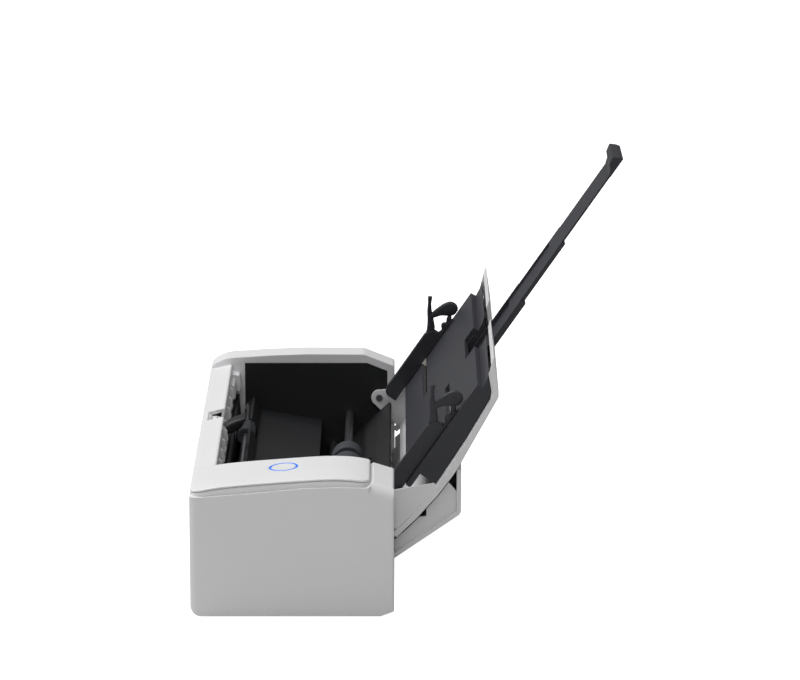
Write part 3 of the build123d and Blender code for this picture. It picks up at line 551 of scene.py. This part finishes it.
def from_chute(line):
    """Points given as (up, out) of the chute's floor, as (y, z)."""
    u, v = line[:, 0], line[:, 1]
    y = CHUTE_FLOOR_START[0] + u * np.cos(CHUTE_SLOPE) - v * np.sin(CHUTE_SLOPE)
    z = CHUTE_FLOOR_START[1] + u * np.sin(CHUTE_SLOPE) + v * np.cos(CHUTE_SLOPE)
    return np.stack([y, z], axis=-1)


class SCANNER_OT_guide_arms(bpy.types.Operator):
    """Forked sheet supports on the two side guides: a post, and a link with a round head"""

    bl_idname = "scanner.guide_arms"
    bl_label = "Guide arms"

    def execute(self, context):
        # Up the chute's floor, out of it, and half the bar's height there
        post = [(33.4, 7.2, 1.9), (37.5, 8.0, 2.5), (42.0, 11.2, 2.0), (46.6, 15.2, 1.45), (50.8, 18.0, 1.1),
                (53.2, 19.4, 1.35), (54.2, 19.95, 1.25)]
        link = [(43.6, 12.7, 1.3), (46.6, 11.3, 2.0), (49.8, 9.7, 2.8), (52.6, 7.6, 4.0), (54.4, 5.9, 4.5),
                (56.2, 4.4, 4.2), (57.8, 3.1, 2.6), (58.5, 2.6, 1.2)]
        strap = [(38.6, 1.9, 1.2), (41.0, 1.5, 0.9), (43.8, 2.3, 1.7), (46.4, 1.9, 1.0), (49.0, 2.4, 1.5),
                 (51.0, 3.0, 1.2)]
        width = context.scene.scanner.arm_thickness / 2
        for side, body in ((1, "near_guide"), (-1, "far_guide")):
            grids = []
            for rows in (post, link, strap):
                line = smooth_line(rows, 44)
                half = np.full(44, width if rows is not strap else width * 0.8)
                middle_x = CHANNEL_MIDDLE_X + side * ARM_OFFSET_X
                bar = swept_bar(from_chute(line[:, :2]), line[:, 2], half, middle_x, 3.2)
                grids.append((capped(bar), False, True))
            build_mesh(f"{body}_fork", grids, "Charcoal ABS, injection moulded", body, [f"{body}_arm"],
                       "charcoal_abs")
        return {"FINISHED"}


class SCANNER_OT_exit_tongue(bpy.types.Operator):
    """Black flap on its pin that turns each sheet forward as it leaves"""

    bl_idname = "scanner.exit_tongue"
    bl_label = "Exit tongue"

    def execute(self, context):
        # Place along the flap, half its height and half its width
        rows = [(-45.4, 65.3, 1.5, 5.0), (-43.6, 65.9, 2.5, 5.6), (-40.4, 67.2, 3.4, 6.1),
                (-36.6, 69.4, 3.3, 6.3), (-33.6, 71.6, 2.2, 6.2), (-31.6, 73.1, 1.0, 5.6),
                (-31.0, 73.6, 0.5, 5.0)]
        line = smooth_line(rows, 48)
        flap = capped(swept_bar(line[:, :2], line[:, 2], line[:, 3], CHANNEL_MIDDLE_X, 4.5, 36))
        bar = [(-22.35, 0.0), (-22.35, 0.9), (-22.2, 1.0), (-4.8, 1.0), (-4.65, 0.9), (-4.65, 0.0)]
        pin = turned(np.array(bar), TONGUE_AXIS, 32)
        build_mesh("exit_flap", [(flap, False, True), (pin, False, True)], "Black ABS, injection moulded",
                   "exit_tongue", ["exit_tongue"], "black_abs")
        return {"FINISHED"}


def ribbed_tyre(middle, width, outer, inner, pitch, depth):
    """Tyre profile: r(x) = R - d cos(pi x / p)^8 between rounded shoulders, closed through the bore."""
    x = np.linspace(-width / 2 + 0.5, width / 2 - 0.5, 140)
    tread = np.stack([middle + x, outer - depth * np.cos(np.pi * x / pitch) ** 8], axis=-1)
    a = np.radians(np.linspace(90, 0, 7))
    left = np.stack([middle - width / 2 + 0.5 - 0.5 * np.sin(a), outer - 0.5 + 0.5 * np.cos(a)], axis=-1)
    right = np.stack([2 * middle - left[::-1, 0], left[::-1, 1]], axis=-1)
    bore = [(middle + width / 2, inner), (middle - width / 2, inner)]
    return np.vstack([left, tread[1:-1], right, bore])


class SCANNER_OT_tyres(bpy.types.Operator):
    """Ground rubber tyres of the pick, feed and eject rollers and the retard roller"""

    bl_idname = "scanner.tyres"
    bl_label = "Tyres"

    def execute(self, context):
        depth = context.scene.scanner.tread_depth
        # Node, body, axis, outer and bore radius, width, middles along the shaft, pitch of the ribs
        rows = (
            ("pick_tyres", "pick_roller", (29.2, 44.1), 9.5, 2.5, 14.0, (-11, 11), 2.0),
            ("feed_tyres", "feed_roller", (19.0, 24.2), 6.4, 2.5, 20.0, (-50, 50), 2.5),
            ("eject_tyres", "eject_roller", (-32.5, 50.0), 5.5, 2.5, 20.0, (-50, 50), 2.5),
            ("retard_roller", "retard_roller", (40.4, 33.3), 5.9, 1.55, 40.0, (0,), 4.0),
        )
        for node, body, axis, outer, inner, width, middles, pitch in rows:
            grids = []
            for middle in middles:
                profile = ribbed_tyre(CHANNEL_MIDDLE_X + middle, width, outer, inner, pitch, depth)
                grids.append((turned(profile, axis), True, True))
            build_mesh(f"ribbed_{node}", grids, "EPDM rubber, ground", body, [node], "roller_rubber")
        return {"FINISHED"}


class SCANNER_OT_cover_webs(bpy.types.Operator):
    """Thin webs that close the two ends of the rear cover, set back from its rim"""

    bl_idname = "scanner.cover_webs"
    bl_label = "Rear cover webs"

    def execute(self, context):
        # The high line runs under the open chute. The notch clears the lower guide when the cover is folded
        # in, and the cut corner clears the shut chute.
        low = np.array([(57.2, 23.0), (64.0, 27.6), (71.4, 32.7), (75.2, 35.4), (75.4, 35.5), (84.0, 41.4),
                        (92.4, 47.4), (92.7, 52.0), (92.7, 58.2)])
        high = np.array([(57.2, 30.6), (64.2, 36.8), (71.4, 44.0), (75.2, 44.4), (75.3, 48.7), (82.4, 56.9),
                         (87.9, 64.4), (90.5, 61.3), (92.7, 58.7)])
        # Eight steps from each point to the next, on both lines
        count = len(low)
        s = np.linspace(0, count - 1, 8 * count - 7)
        rows = [
            np.stack([np.interp(s, range(count), line[:, k]) for k in (0, 1)], axis=-1)
            for line in (low, high)
        ]
        thick = context.scene.scanner.web_thickness
        grids = []
        for side in (1, -1):
            x_out = CHANNEL_MIDDLE_X + side * (REAR_COVER_HALF - context.scene.scanner.web_recess)
            x_in = x_out - side * thick
            f = np.linspace(0, 1, 9)[None, :, None]
            face = rows[0][:, None, :] * (1 - f) + rows[1][:, None, :] * f
            outer = np.concatenate([np.full(face.shape[:2] + (1,), x_out), face], axis=2)
            inner = np.concatenate([np.full(face.shape[:2] + (1,), x_in), face[:, ::-1]], axis=2)
            loop = np.concatenate([outer, inner], axis=1)
            grids.append((loop if side < 0 else loop[:, ::-1], False, True))
        web = build_mesh("rear_cover_webs", grids, "White ABS, injection moulded", "rear_cover", [],
                         "white_abs")
        web.data.polygons.foreach_set("use_smooth", np.zeros(len(web.data.polygons), bool))
        return {"FINISHED"}


# Finishes and stage

class SCANNER_OT_finishes(bpy.types.Operator):
    """Gives every material slot of the CAD frame its real finish"""

    bl_idname = "scanner.finishes"
    bl_label = "Finishes"

    def execute(self, context):
        s = context.scene.scanner
        # Colour, roughness, grain in mm, depth of the grain and softened edge in mm
        plastics = {
            # Housing: even, near white, with a broad soft highlight
            "white_abs": ("White ABS, injection moulded", s.white, 0.42, 0.25, 0.012, s.edge),
            # Paper path, inner panels, sensors and tongue: the dark hollow that the housing frames
            "black_abs": ("Black ABS, injection moulded", s.black, 0.55, 0.3, 0.02, s.edge),
            # Chute lining and guides: cool dark grey that still shows its edges
            "charcoal_abs": ("Charcoal ABS, injection moulded", s.charcoal, 0.5, 0.3, 0.02, s.edge),
            # Gears and racks: waxy off-white
            "acetal": ("Natural acetal, injection moulded", linear("#DAD7CE"), 0.35, 0.4, 0.006, 0.1),
            # Pinch rollers: smooth light grey
            "roller_plastic": ("Grey acetal, turned", linear("#B9BCC1"), 0.35, 0.4, 0.006, 0.1),
            # Boards: glossy green
            "circuit_board": ("Glass-epoxy board, green mask", linear("#1F5B3A"), 0.3, 1.5, 0.01, 0.1),
            # Power socket: dull black in its opening
            "port_plastic": ("Black nylon, injection moulded", linear("#1B1C1E"), 0.5, 0.3, 0.01, 0.1),
        }
        finishes = {slot: moulded_plastic(*values) for slot, values in plastics.items()}
        # Tyres: matt dark grey, lined by the grinding wheel
        finishes["roller_rubber"] = cast_rubber("EPDM rubber, ground", linear("#45474B"), 0.75)
        # Feet: flat, almost black
        finishes["foot_rubber"] = cast_rubber("Rubber, die cut", linear("#2A2B2D"), 0.8)
        # Shafts, pins and screws: bright metal with a narrow highlight
        finishes["steel"] = turned_steel("Shaft steel, ground", linear("#B9BBBE"), 0.28)
        # Motor can: duller and darker than the shafts
        finishes["motor_steel"] = turned_steel("Zinc-plated steel, pressed", linear("#8B8D90"), 0.4)
        # Data socket: a thin bright rim
        finishes["port_metal"] = turned_steel("Nickel-plated steel, folded", linear("#A8AAAD"), 0.3)
        # Ring: the one spot of colour
        finishes["blue_lens"] = lit_lens("Polycarbonate light guide, lit", s.lens, s.lens_glow)
        # Sensor windows: a dark mirror
        finishes["sensor_glass"] = dark_glass("Float glass, polished", linear("#0C0D10"))
        slots = {p["node"]: p["material_slot"] for p in frame["record"]["subparts"]}
        for node, obj in frame["nodes"].items():
            obj.data.materials.clear()
            obj.data.materials.append(finishes[slots[node]])
        return {"FINISHED"}


class SCANNER_OT_stage(bpy.types.Operator):
    """White studio floor, lights and the photograph's camera"""

    bl_idname = "scanner.stage"
    bl_label = "Stage"

    def execute(self, context):
        scene = context.scene
        scene.view_settings.view_transform = "Standard"
        mesh = bpy.data.meshes.new("floor")
        r = FLOOR_REACH
        mesh.from_pydata([(-r, -r, 0), (r, -r, 0), (r, r, 0), (-r, r, 0)], [], [(0, 1, 2, 3)])
        floor = bpy.data.objects.new("floor", mesh)
        floor.data.materials.append(floor_paint("Studio paper, matt"))
        scene.collection.objects.link(floor)
        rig.stage(floor)
        world = bpy.data.worlds.new("studio")
        scene.world = world
        world.use_nodes = True
        sky = world.node_tree.nodes["Background"]
        sky.inputs["Color"].default_value = (1, 1, 1, 1)
        sky.inputs["Strength"].default_value = WORLD_STRENGTH
        for lamp in LAMPS:
            self.add_lamp(scene, *lamp)
        camera = bpy.data.objects.new("camera", bpy.data.cameras.new("camera"))
        camera.location = CAMERA_PLACE
        camera.rotation_euler = (CAMERA_TILT, 0.0, math.radians(90.0))
        camera.data.sensor_width = SENSOR_WIDTH
        camera.data.lens = PHOTO_FOCAL_PX / PHOTO_WIDTH_PX * SENSOR_WIDTH
        camera.data.clip_start = 0.05
        camera.data.clip_end = 60.0
        scene.collection.objects.link(camera)
        scene.camera = camera
        return {"FINISHED"}

    def add_lamp(self, scene, name, place, size, power):
        """A plain square lamp, turned to face the scanner."""
        lamp = bpy.data.lights.new(name, "AREA")
        lamp.size = size
        lamp.energy = power
        obj = bpy.data.objects.new(name, lamp)
        obj.location = place
        aim = np.array(LAMP_TARGET) - np.array(place)
        flat = math.hypot(aim[0], aim[1])
        obj.rotation_euler = (math.atan2(flat, -aim[2]), 0.0, math.atan2(aim[1], aim[0]) - math.pi / 2)
        scene.collection.objects.link(obj)


class SCANNER_PT_panel(bpy.types.Panel):
    """Lists the steps in the order they run"""

    bl_idname = "SCANNER_PT_panel"
    bl_label = "Scanner"
    bl_space_type = "VIEW_3D"
    bl_region_type = "UI"
    bl_category = "Scanner"

    def draw(self, context):
        for step in STEPS:
            self.layout.operator(step.bl_idname)


STEPS = (
    SCANNER_OT_finishes, SCANNER_OT_button_panel, SCANNER_OT_scan_button, SCANNER_OT_guide_arms,
    SCANNER_OT_exit_tongue, SCANNER_OT_tyres, SCANNER_OT_cover_webs, SCANNER_OT_stage,
)
CLASSES = (ScannerSettings, *STEPS, SCANNER_PT_panel)


def register():
    for cls in CLASSES:
        bpy.utils.register_class(cls)
    bpy.types.Scene.scanner = PointerProperty(type=ScannerSettings)


def unregister():
    del bpy.types.Scene.scanner
    for cls in reversed(CLASSES):
        bpy.utils.unregister_class(cls)


def main():
    write_sizes("frame")
    register()
    for step in STEPS:
        group, name = step.bl_idname.split(".")
        getattr(getattr(bpy.ops, group), name)()
    write_sizes("finish")


if __name__ == "__main__":
    main()
